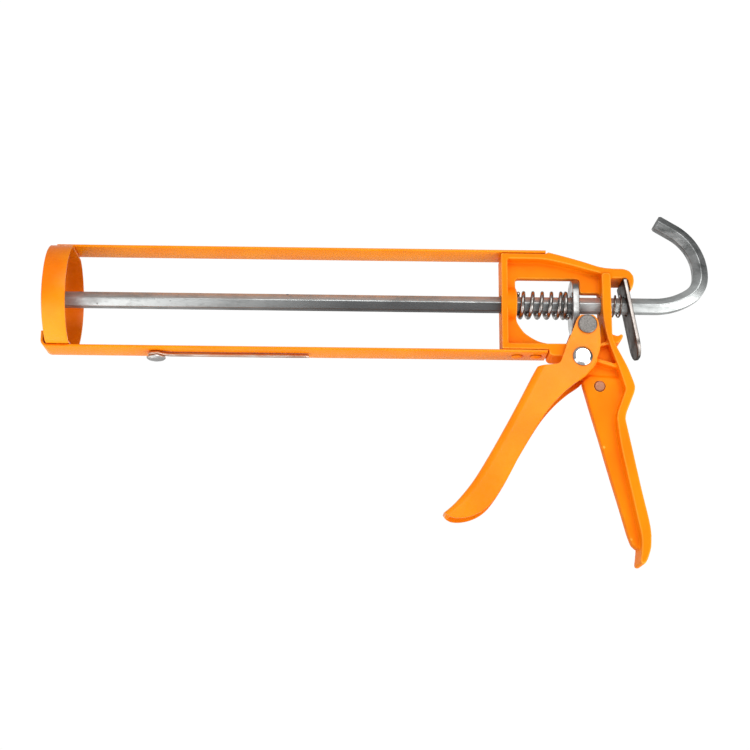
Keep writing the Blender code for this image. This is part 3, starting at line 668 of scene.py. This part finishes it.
# Outlines in the plane of the handle.
TOP_SLOPE = [(86.0, CAST_TOP), (86.5, 25.9), (93.5, 24.1), (103.5, 21.3), (113.0, 18.2),
             (118.0, 17.6)]
CLAW = [(124.6, 17.6), (127.6, 16.4), (129.5, 13.9), (129.9, 10.8), (128.8, 7.3), (127.7, 6.4)]
HANDLE_BACK = [(118.6, -21.2), (125.4, -34.9), (128.3, -43.6), (128.0, -46.4), (123.5, -57.4),
               (122.9, -60.4), (125.0, -71.1), (129.8, -96.5), (132.6, -109.5), (133.7, -116.5)]
HANDLE_FRONT = [(125.1, -121.6), (123.4, -117.0), (119.9, -103.5), (115.2, -86.6),
                (110.8, -69.5), (106.4, -53.5), (102.9, -40.0)]
FLANGE_INNER = [(128.3, -127.3), (129.1, -119.8), (126.3, -105.3), (120.1, -73.7),
                (118.7, -60.2), (119.2, -57.0), (123.6, -45.2), (121.0, -35.9), (LEG_X0, -14.0)]
SPUR = [(116.5, -15.0), (118.3, -16.8), (121.0, -17.6), (122.5, -16.4), (123.7, -17.0),
        (122.9, -19.2), (121.2, -21.0), (118.2, -21.4), (116.5, -20.0)]


def cross_drum(at, radius, half, edge=0.0):
    """A solid drum along y at a place (x, z)."""
    return lathe([(-half, radius), (half, radius)], "y", (at[0], 0, at[1]), edge=edge)


def casting_shell():
    """The casting's masses, overlapping, before they are fused."""
    web = [(FRONT_X + 1, 24.0), (84.0, 24.0), (93.5, 21.8), (103.5, 19.0), (115.5, 15.5),
           (115.5, -15.0), (120.5, -30.0), (121.5, -37.0), (111.0, -46.0), (104.5, -42.0),
           *arc(PIVOT, 8.0, -80, -215, 16), (89.0, -24.0), (FRONT_X + 1, -24.0)]
    window = [(70.5, 13.5), (70.5, -7.0), (71.3, -10.0), (74.4, -14.8), (78.5, -17.7),
              (82.0, -19.5), (87.0, -20.6), (109.5, -20.6), (113.2, -16.5), (113.2, 6.1),
              (102.9, 6.1), (102.9, 13.5)]
    handle = [(106.5, -37.0), (123.6, -38.0), (125.7, -44.5), (120.9, -58.0), (122.5, -74.0),
              (128.4, -105.0), (131.2, -119.0), (128.3, -124.7), *HANDLE_FRONT]
    rim = [(FRONT_X + 1, CAST_TOP), *TOP_SLOPE, *CLAW, (126.4, 12.4), (114.3, 12.4),
           (114.3, 14.6), (103.5, 17.5), (93.5, 20.2), (84.0, 22.1), (FRONT_X + 1, 22.1)]
    low_rim = [(FRONT_X + 1, -CAST_TOP), (86.2, -CAST_TOP), (86.4, -27.2), (87.8, -28.4),
               (94.6, -28.6), (95.6, -22.0), (86.0, -22.1), (FRONT_X + 1, -22.1)]
    tongue = [(133.3, -124.0), (131.5, -129.2), (130.1, -131.6),
              *arc((129.2, -130.3), 1.4, -40, -180, 5)]
    back = [(LEG_X0, 15.0), (LEG_X1, 15.0), (LEG_X1, -17.5), *HANDLE_BACK, *tongue,
            *FLANGE_INNER]
    pieces = [
        block((FRONT_X, -RIM_HALF, -CAST_TOP), (FRONT_X + 3.0, RIM_HALF, CAST_TOP)),
        outline_mesh([web, rounded(window, 1.5, gentle=2.0)], WEB_HALF),
        outline_mesh([rounded(handle, 2.5)], HANDLE_HALF, 1.4),
        outline_mesh([rounded(rim, 1.5, gentle=5.0)], RIM_HALF),
        outline_mesh([low_rim], LOW_RIM_HALF),
        outline_mesh([rounded(back, 2.2)], FLANGE_HALF),
        outline_mesh([rounded(SPUR, 0.6, gentle=0.5)], SPUR_HALF),
        lathe([(FRONT_X + 0.4, BOSS_R), (70.8, BOSS_R)], "x", sides=48, edge=0.4),
        cross_drum(PIVOT, LUG_R, LUG_HALF, 0.4),
    ]
    ribs = (((110.0, -22.6), (117.0, -20.6), 0.8, 6.6),
            ((108.5, -29.6), (121.0, -33.4), 0.9, 7.4))
    for start, end, half_t, half_w in ribs:
        lean = Vector((start[1] - end[1], end[0] - start[0])).normalized() * half_t
        a, b = Vector(start), Vector(end)
        pieces.append(outline_mesh([[tuple(p) for p in (a + lean, a - lean, b - lean, b + lean)]],
                                   half_w))
    return merged(*pieces)


def body_casting(mat):
    """The masses fused and smoothed, and then bored for the rod, the dowel and the pivot."""
    mesh = with_modifier(casting_shell(), "REMESH", mode="VOXEL", voxel_size=VOXEL)
    mesh = with_modifier(mesh, "SMOOTH", factor=0.5, iterations=9)
    rod_bore = lathe([(FRONT_X - 3, ROD_BORE_R), (LEG_X1 + 3, ROD_BORE_R)], "x", edge=0.0)
    dowel_bore = cross_drum(DOWEL, DOWEL_BORE_R, 20)
    pivot_bore = cross_drum(PIVOT, PIVOT_BORE_R, 20)
    mesh = boolean(mesh, merged(rod_bore, dowel_bore, pivot_bore), "DIFFERENCE")
    show("casting", mesh, "frame", ["body_casting"], mat, 50.0)


# --- Cradle --------------------------------------------------------------------------------------

RING_R = 27.4
RING_FLAT = 25.1
RING_WALL = 1.1
RING_HALF_LENGTH = 5.7
RING_X = -157.5
STRAP_HALF_W = 8.25
STRAP_HALF_T = 0.65
STRAP_Z = 26.05
STRAP_START = -163.2
STRAP_LENGTH = 248.7
STRAP_STEPS = 40
TOP_STRAP_START = -160.6
WIRE_PIVOT_X = -109.5
WIRE_Z = -28.0


def front_ring(mat):
    """A round collar with short flats at top and bottom, under the straps."""
    half_wall = RING_WALL / 2
    radius, flat = RING_R - half_wall, RING_FLAT - half_wall
    corner = math.degrees(math.asin(flat / radius))
    path = []
    for start in (-corner, 180 - corner):
        path += arc((0, 0), radius, start, start + 2 * corner, 60)
    section = rounded_section(RING_HALF_LENGTH, half_wall, 0.3)
    mesh = sweep([(0, y, z) for y, z in path], section, (1, 0, 0), True)
    mesh.transform(Matrix.Translation((RING_X, 0, 0)))
    show("nose_ring", mesh, "frame", ["front_ring"], mat)


def straps(mat):
    """Flat strips; the lower one has a lip bent up at the nose."""
    section = rounded_section(STRAP_HALF_W, STRAP_HALF_T, 0.35)
    xs = [STRAP_START + STRAP_LENGTH * i / STRAP_STEPS for i in range(STRAP_STEPS + 1)]
    top = sweep([(x, 0, STRAP_Z) for x in [TOP_STRAP_START, *xs[1:]]], section, (0, 1, 0))
    show("upper_strap", top, "frame", ["top_strap"], mat)
    lip = [(-165.35, -18.7), (-165.35, -21.0)] + arc((-162.6, -23.3), 2.75, 180, 270, 12)
    path = lip + [(x, -STRAP_Z) for x in xs[1:]]
    low = sweep([(x, 0, z) for x, z in path], section, (0, 1, 0))
    show("lower_strap", low, "frame", ["bottom_strap"], mat)


def strap_rivets(mat):
    profile = [(22.1, 1.6), (27.0, 1.6), (27.0, 3.1), (27.5, 2.8), (28.0, 1.4)]
    for label in ("top", "bottom"):
        for x, place in ((71.0, "front"), (80.5, "rear")):
            mesh = lathe(profile, "z", (x, 0, 0), 40, edge=0.3)
            if label == "bottom":
                mesh.transform(Matrix.Rotation(math.pi, 4, "X"))
            show(f"{label}_rivet_{place}", mesh, "frame", [f"{label}_strap_rivet_{place}"],
                 mat)


def piercer():
    """The wire that opens a cartridge's seal, its eye, and the rivet that it swings on."""
    rivet = lathe([(-31.0, 2.6), (-30.6, 4.0), (-30.0, 4.75), (-29.3, 4.75), (-29.3, 1.9),
                   (-25.1, 1.9), (-25.1, 2.9), (-24.6, 2.5)], "z", (WIRE_PIVOT_X, 0, 0), 56)
    show("wire_rivet", rivet, "frame", ["piercer_rivet"],
         steel("rivet_steel", 4.0, (0.62, 0.61, 0.6), (0.4, 0.39, 0.38)))
    eye = arc((WIRE_PIVOT_X, 0), 3.2, 38, 322, 36)
    neck = smooth([eye[-1], (-104.9, -0.8), (-102.5, 0.0)], 6)[1:]
    run = [(-90.0, 0), (-70.0, 0), (-50.0, 0), (-41.5, 0), (-37.5, 0), (-33.5, 0)]
    path = [(x, y, WIRE_Z) for x, y in eye + neck + run]
    radii = [1.0] * (len(path) - 2) + [0.97, 0.9]
    wire = tube(path, 1.0, 14, radii)
    # The copper tint is a painted reflection of the orange paint; in patches it fades to grey
    # steel.
    look = Look("coppered_wire", Metallic=1.0, Roughness=0.38)
    reflection_patches = look.ranged(look.noise(240.0, 4.0, 0.6, (0.3, 1, 1), 2.0), 0.4, 0.62)
    look.colour(look.mixed(reflection_patches, (0.60, 0.36, 0.25), (0.62, 0.54, 0.48)))
    look.roughness(look.ranged(reflection_patches, 0.0, 1.0, 0.3, 0.5))
    show("seal_wire", wire, "piercer", ["piercing_wire"], look.mat, 60.0)


# --- Rod, piston, springs and plates -------------------------------------------------------------

ROD_FRONT = -160.3
ROD_STRAIGHT = 301.3
ROD_STEPS = 30
ROD_FLATS = 7.6
HOOK_START = 141.0
HOOK_BENDS = ((33.0, 33.0), (13.0, 55.0), (27.0, 61.0))
HOOK_TIP = 10.1
HOOK_STEP = 3


def hook_path():
    """The hook's centre line through its bends (radius, degrees), in steps of about three
    degrees, and its last heading."""
    x, z, heading = HOOK_START, 0.0, 0.0
    points = [(x, z)]
    for radius, turn in HOOK_BENDS:
        steps = round(turn / HOOK_STEP)
        step = math.radians(turn) / steps
        for _ in range(steps):
            length = 2 * radius * math.sin(step / 2)
            heading += step / 2
            x += length * math.cos(heading)
            z += length * math.sin(heading)
            heading += step / 2
            points.append((x, z))
    return points, heading


def rod():
    """A hexagonal bar with its hook, and a turned end for the disc."""
    corner_r = 0.75
    reach = ROD_FLATS / math.sqrt(3) - corner_r / math.cos(math.radians(30))
    hexagon = []
    for k in range(6):
        centre = (reach * math.cos(math.radians(60 * k)), reach * math.sin(math.radians(60 * k)))
        hexagon += arc(centre, corner_r, 60 * k - 30, 60 * k + 30, 4)
    bend, heading = hook_path()
    straight = [(ROD_FRONT + ROD_STRAIGHT * i / ROD_STEPS, 0.0) for i in range(ROD_STEPS)]
    path = straight + bend
    for share in (0.5, 0.9, 1.0):
        path.append((bend[-1][0] + HOOK_TIP * share * math.cos(heading),
                     bend[-1][1] + HOOK_TIP * share * math.sin(heading)))
    scales = [1.0] * (len(path) - 1) + [0.86]
    mesh = sweep([(x, 0, z) for x, z in path], hexagon, (0, 1, 0), scales=scales)
    spigot = lathe([(-167.2, 2.5), (-159.0, 2.5)], "x", sides=32)
    # The rod's underside darkening from x = -0.165 to -0.04 is painted shade.
    show("hooked_rod", merged(mesh, spigot), "rod", ["plunger_rod"],
         zinc("rod_zinc", 0.0, (0.48, 0.50, 0.495), (0.27, 0.285, 0.28), ALONG_ROD,
              (0.32, 0.5), shade_span=(-0.165, -0.04), metal=0.75), 25.0)


def piston():
    """The disc that pushes the cartridge, its washer and its nut."""
    disc = [(-161.9, 2.8), (-161.9, 22.0), (-162.5, 23.0), (-164.3, 22.7), (-164.3, 21.5),
            (-163.4, 21.0), (-163.4, 2.8)]
    show("pusher_disc", lathe(disc, "x", sides=96, loop=True, edge=0.4), "piston",
         ["piston_disc"], zinc("disc_zinc", 5.0))
    washer = [(-160.6, 2.8), (-160.6, 8.0), (-161.6, 8.0), (-161.6, 2.8)]
    show("disc_washer", lathe(washer, "x", loop=True), "piston", ["piston_washer"],
         zinc("washer_zinc", 6.0))
    hexagon = arc((0, 0), 4.2, 0, 300, 5)
    nut = outline_mesh([hexagon, arc((0, 0), 2.8, 0, 350, 35)], 1.25, 0.3, "yz", -166.2)
    show("disc_nut", nut, "rod", ["piston_nut"], zinc("nut_zinc", 7.0))


def coil(start_x, end_x, radius, wire_r, active, front_dead, back_dead, per_turn, squeeze=1.05):
    """A spring's centre line, with `active` open turns between closed ones. Closed turns are
    `squeeze` wire diameters apart."""
    dead_pitch = 2 * wire_r * squeeze
    pitch = (end_x - start_x - dead_pitch * (front_dead + back_dead)) / active
    turns = front_dead + active + back_dead
    count = round(turns * per_turn)
    points = []
    for i in range(count + 1):
        t = turns * i / count
        x = start_x + dead_pitch * min(t, front_dead)
        x += pitch * min(max(t - front_dead, 0), active)
        x += dead_pitch * max(t - front_dead - active, 0)
        points.append((x, radius * math.sin(math.tau * t), radius * math.cos(math.tau * t)))
    return points


def springs():
    """Both springs, each with a mesh of its own."""
    points = coil(72.1, 97.1, 6.3, 1.0, 4.3, 0.75, 1.5, 32)
    show("coil_spring", tube(points, 1.0, 14), "frame", ["main_spring"],
         steel("spring_wire", 8.0, (0.44, 0.42, 0.40), (0.16, 0.15, 0.14), (0.2, 0.34)), 60.0)
    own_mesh(bpy.data.objects["coil_spring"])
    points = coil(118.55, 123.8, 5.4, 0.45, 1.4, 0.3, 0.3, 36, 1.15)
    show("return_spring", tube(points, 0.45, 10), "frame", ["release_spring"],
         steel("return_wire", 9.0, (0.30, 0.27, 0.24), (0.14, 0.13, 0.12), (0.25, 0.4)), 60.0)
    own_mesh(bpy.data.objects["return_spring"])


def tongue_outline(half_w, top, low, top_r, low_r):
    """A plate's outline from its top to its low end, with its own corner radius at each."""
    return [*arc((half_w - top_r, top - top_r), top_r, 0, 90, 14),
            *arc((-half_w + top_r, top - top_r), top_r, 90, 180, 14),
            *arc((-half_w + low_r, low + low_r), low_r, 180, 270, 14),
            *arc((half_w - low_r, low + low_r), low_r, 270, 360, 14)]


PLATE_HALF = 9.8
THUMB_TILT = math.radians(9.8)
CLAW_SEAT = (124.9, 11.7)


def plates():
    """The plate that the trigger pushes, and the thumb plate, which leans from the claw."""
    bore = arc((0, 0), ROD_BORE_R, 0, 354, 59)
    push = outline_mesh([tongue_outline(PLATE_HALF, 12.8, -14.9, 9.0, 9.6), bore],
                        1.7, 0.4, "yz", 98.4)
    show("push_plate", push, "drive_plate", ["drive_plate"],
         zinc("push_zinc", 10.0, (0.52, 0.52, 0.51), (0.26, 0.26, 0.255),
              cut_edge_and_highlight=(0.24, 0.24, 0.235)))
    hole = arc((0, -CLAW_SEAT[1] / math.cos(THUMB_TILT)), 5.1, 0, 354, 59)
    thumb = outline_mesh([tongue_outline(PLATE_HALF, 0.4, -39.8, 1.2, 8.2), hole],
                         0.95, 0.35, "yz", -0.95)
    seat = Matrix.Translation((CLAW_SEAT[0], 0, CLAW_SEAT[1]))
    thumb.transform(seat @ Matrix.Rotation(-THUMB_TILT, 4, "Y"))
    # The thumb plate's lighter edges along y are bare cut steel and a painted highlight.
    show("thumb_plate", thumb, "release_plate", ["release_plate"],
         zinc("thumb_steel", 11.0, (0.13, 0.113, 0.10), (0.06, 0.052, 0.045),
              rough=(0.28, 0.45), cut_edge_and_highlight=(0.30, 0.27, 0.25), grazing=0.5))


# --- Trigger -------------------------------------------------------------------------------------

GRIP_FRONT = [(95.0, -8.0), (89.0, -19.5), (83.1, -29.6), (78.4, -37.2), (69.4, -54.4),
              (59.1, -73.2), (49.2, -89.8), (41.7, -99.6), (35.9, -105.4), (27.0, -112.4)]
TRIGGER_REAR = [(110.6, -11.6), (111.3, -16.5), (111.3, -23.7), (109.6, -29.8), (106.9, -35.2),
                (103.2, -39.6), (96.8, -44.2), (89.6, -50.8), (81.9, -60.4), (71.8, -77.0),
                (64.7, -90.3), (58.1, -100.6), (53.2, -105.8), (48.0, -108.7), (42.8, -110.0),
                (38.6, -110.0), (35.8, -108.9), (34.0, -107.2)]
EAR_OUT = 11.4
SHEET = 1.3
BEND_R = 4.4

# Past the crease, in this direction (x, z), the grip is narrower by TAPER of the distance.
CREASE = (86.2, -33.2)
PAST_CREASE = (-0.86, -0.51)
TAPER = 0.045


def narrowed(x, z):
    """How much narrower the grip is than the ears, past the crease between them."""
    past = (x - CREASE[0]) * PAST_CREASE[0] + (z - CREASE[1]) * PAST_CREASE[1]
    return (EAR_OUT - TAPER * max(past, 0.0)) / EAR_OUT


def channel():
    """A folded sheet along the grip's front line, with sides deeper than the trigger."""
    line = smooth(GRIP_FRONT, 10)
    bend = [(BEND_R * (1 - math.sin(a)), BEND_R * math.cos(a))
            for a in (math.radians(9 * i) for i in range(11))]
    side = [(d, EAR_OUT) for d in range(60, 5, -2)]
    right = side + [(d, EAR_OUT - BEND_R + y) for d, y in bend]
    section = right + [(d, -y) for d, y in reversed(right)]
    bm = bmesh.new()
    rows = [[bm.verts.new((x + d, y * narrowed(x + d, z), z)) for d, y in section]
            for x, z in line]
    for upper, lower in zip(rows, rows[1:]):
        for i in range(len(section) - 1):
            bm.faces.new((upper[i], upper[i + 1], lower[i + 1], lower[i]))
    mesh = mesh_of(bm, "channel")
    return with_modifier(mesh, "SOLIDIFY", thickness=SHEET, offset=-1.0, use_even_offset=True)


def trigger(mat):
    """The channel cut to the trigger's side outline, bored, and with its edges softened."""
    front_edge = [(27.0, -107.5), (38.0, -98.0), (47.5, -86.5), (68.0, -51.0), (77.5, -34.4)]
    ear_front = [(84.0, -33.9), (91.0, -33.3), (92.8, -29.0), (95.1, -22.0), (97.4, -17.0)]
    outline = [*front_edge, *rounded(ear_front, 3.0, closed=False),
               *arc(DRIVE_PIN, 5.7, 160, 20, 24), *smooth(TRIGGER_REAR, 6)]
    mesh = boolean(channel(), outline_mesh([outline], 30.0), "INTERSECT")
    bores = merged(cross_drum(PIVOT, PIVOT_BORE_R, 30), cross_drum(DRIVE_PIN, DRIVE_BORE_R, 30))
    mesh = boolean(mesh, bores, "DIFFERENCE")
    mesh = with_modifier(mesh, "BEVEL", width=0.5, segments=3, limit_method="ANGLE",
                         angle_limit=math.radians(50))
    show("squeeze_trigger", mesh, "trigger", ["trigger"], mat, 40.0)


def pin(name, profile, at, body, node, mat, edge=0.2):
    """A pin along y, the same on both sides of the middle."""
    whole = [(-a, r) for a, r in reversed(profile)] + profile
    mesh = lathe(whole, "y", (at[0], 0, at[1]), 72, edge=edge)
    show(name, mesh, body, [node], mat)


def pins():
    """The trigger's two pins, the dowel in the handle and the roller that pushes the plate."""
    head = EAR_OUT + 0.3
    face = Look("turned_face", Metallic=1.0, Roughness=0.16)
    rings = face.ranged(face.noise(700.0, 3.0, shift=1.0), 0.3, 0.7)
    bright = face.mixed(rings, (0.95, 0.95, 0.95), (0.8, 0.8, 0.8))
    # The face along y is bright turned steel; the rim and chamfer round it are coloured dark, a
    # painted shadow round the face.
    face.colour(face.mixed(face.sideways(), (0.16, 0.155, 0.15), bright))
    face.roughness(face.ranged(rings, 0.0, 1.0, 0.1, 0.25))
    pin("pivot", [(head, 3.7), (head, 4.9), (head + 0.3, 4.8), (head + 1.2, 3.8),
                  (head + 1.4, 3.5)], PIVOT, "trigger", "pivot_pin", face.mat,
        edge=0.15)
    matte = steel("pin_steel", 12.0, (0.26, 0.245, 0.23), (0.15, 0.14, 0.13), (0.5, 0.65), 1400.0)
    pin("push_pin", [(head, 2.0), (head, 4.7), (head + 0.7, 4.7), (head + 1.1, 4.2)], DRIVE_PIN,
        "trigger", "drive_pin", matte)
    # The dowel's reddish tone is a painted reflection of the orange paint round it.
    pin("stop_dowel", [(4.0, 2.6), (4.3, 2.3)], DOWEL, "frame", "handle_dowel",
        steel("dowel_steel", 13.0, (0.44, 0.21, 0.13), (0.32, 0.15, 0.09), (0.5, 0.65), 1400.0))
    end = EAR_OUT - SHEET - 0.3
    sleeve = [(-end, 2.3), (-end, 3.0), (end, 3.0), (end, 2.3)]
    roller = lathe(sleeve, "y", (DRIVE_PIN[0], 0, DRIVE_PIN[1]), loop=True)
    show("push_roller", roller, "roller", ["drive_roller"],
         steel("roller_steel", 14.0))


# --- Build ---------------------------------------------------------------------------------------

camera()
surroundings()
floor()
for lamp in LAMPS:
    area_light(*lamp)
# The casting's lighter outward edges are a painted highlight.
body_casting(paint("cast_paint", 0.0, (0.94, 0.25, 0.0015), (0.92, 0.205, 0.001), 0.05,
                   depth=0.004, rough=(0.42, 0.58), edge_highlight=(0.98, 0.43, 0.06)))
# Painted shade: the shift of 9.0 was chosen to lay a deep patch on the ring's top, and depth=0.05
# deepens the whole of its inside.
front_ring(paint("ring_paint", 9.0, (0.95, 0.305, 0.006), (0.90, 0.19, 0.001), 0.15,
                 depth=0.05, peel=0.02, patches=24.0))
sheet_paint = paint("sheet_paint", 2.0, (0.94, 0.285, 0.003), (0.92, 0.245, 0.002), 0.13,
                    peel=0.02)
straps(sheet_paint)
strap_rivets(sheet_paint)
trigger(paint("trigger_paint", 5.0, (0.94, 0.285, 0.005), (0.92, 0.235, 0.002), 0.14,
              depth=0.014))
piercer()
rod()
piston()
springs()
plates()
pins()
